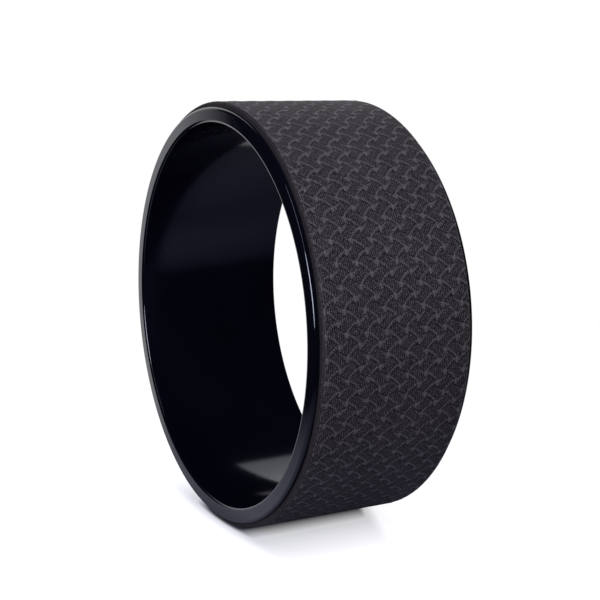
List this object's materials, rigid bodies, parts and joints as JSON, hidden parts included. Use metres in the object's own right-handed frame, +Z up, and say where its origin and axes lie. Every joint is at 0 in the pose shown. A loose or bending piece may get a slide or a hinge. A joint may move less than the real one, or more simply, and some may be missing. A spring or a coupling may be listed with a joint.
{
  "type": "yoga wheel",
  "caption": "Yoga wheel: a rigid glossy hoop with a lip along each rim and a cushioned, embossed mat strip bonded between the lips, rolled on or laid over to open the back and shoulders.",
  "frame": {"origin": "the wheel's centre, on its axle line and midway between the hoop's two end faces", "axes": "+Y along the axle line, from the end face that the picture shows to the hidden one; +Z up, with the wheel standing on its tread; +X towards the tread that faces the camera"},
  "size_m": [0.33, 0.13, 0.33],
  "materials": {
    "hoop_plastic": "gloss",
    "bond": "satin",
    "mat_foam": "matte",
    "mat_tread": "matte"
  },
  "bodies": {
    "root": {"hoop": "hoop_plastic", "adhesive_film": "bond", "mat_underlayer": "mat_foam", "mat_top_layer": "mat_tread"}
  },
  "joints": []
}
